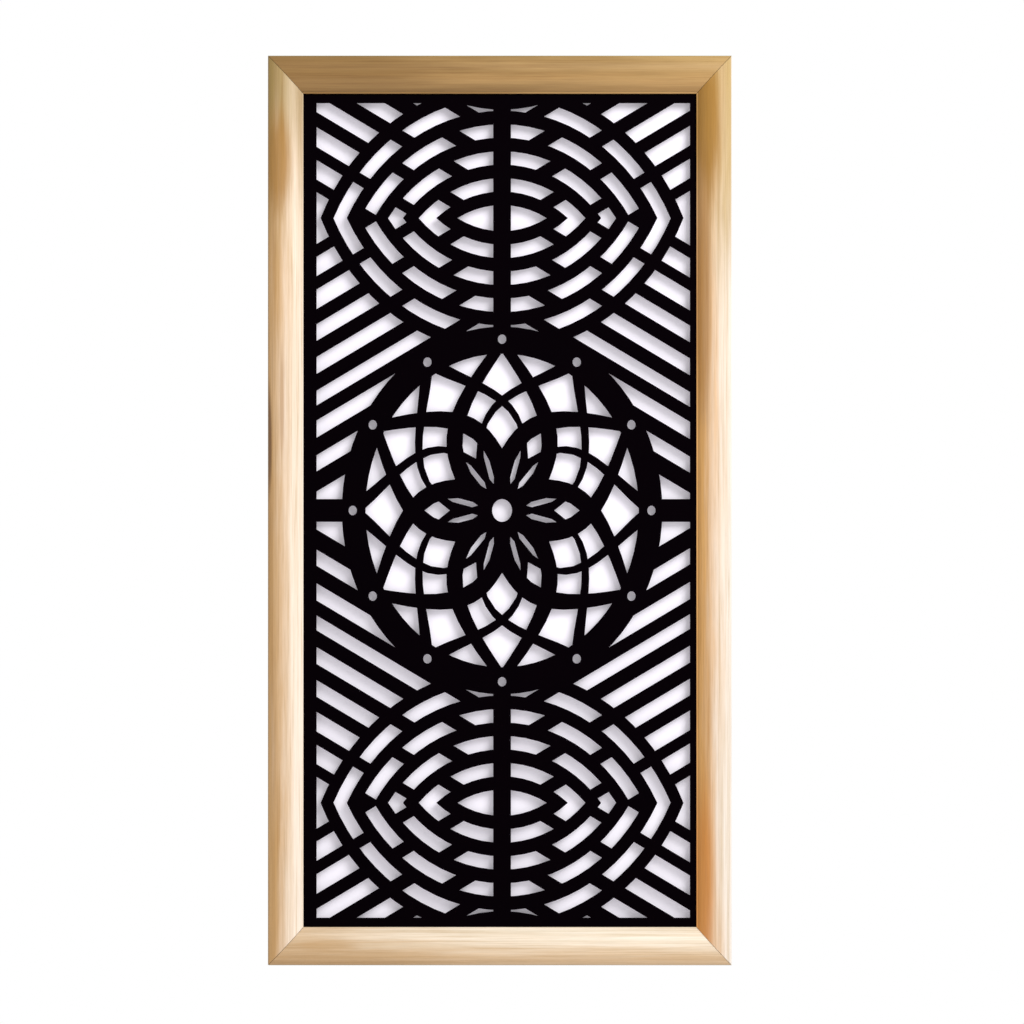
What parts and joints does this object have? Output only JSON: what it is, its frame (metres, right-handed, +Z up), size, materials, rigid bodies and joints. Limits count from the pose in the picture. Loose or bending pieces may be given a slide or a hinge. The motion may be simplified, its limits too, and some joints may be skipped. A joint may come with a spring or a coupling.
{
  "type": "decorative wall panel",
  "caption": "Tall rectangular wall panel: a mitred natural pine frame round a thin black sheet pierced with a geometric rosette, lens-shaped rings and slanting bars.",
  "frame": {"origin": "middle of the top rail's flat back, in the plane of the wall, where the panel is held", "axes": "+X along the width to the viewer's right, +Y from the front into the wall, +Z up; the front faces -Y"},
  "size_m": [0.408, 0.02, 0.8],
  "materials": {
    "pine_top": "clear satin",
    "pine_bottom": "clear satin",
    "pine_left": "clear satin",
    "pine_right": "clear satin",
    "black_lacquer": "matt black lacquer on thin fibreboard"
  },
  "bodies": {
    "root": {"top_rail": "pine_top", "bottom_rail": "pine_bottom", "left_stile": "pine_left", "right_stile": "pine_right", "fret_sheet": "black_lacquer"}
  },
  "joints": []
}
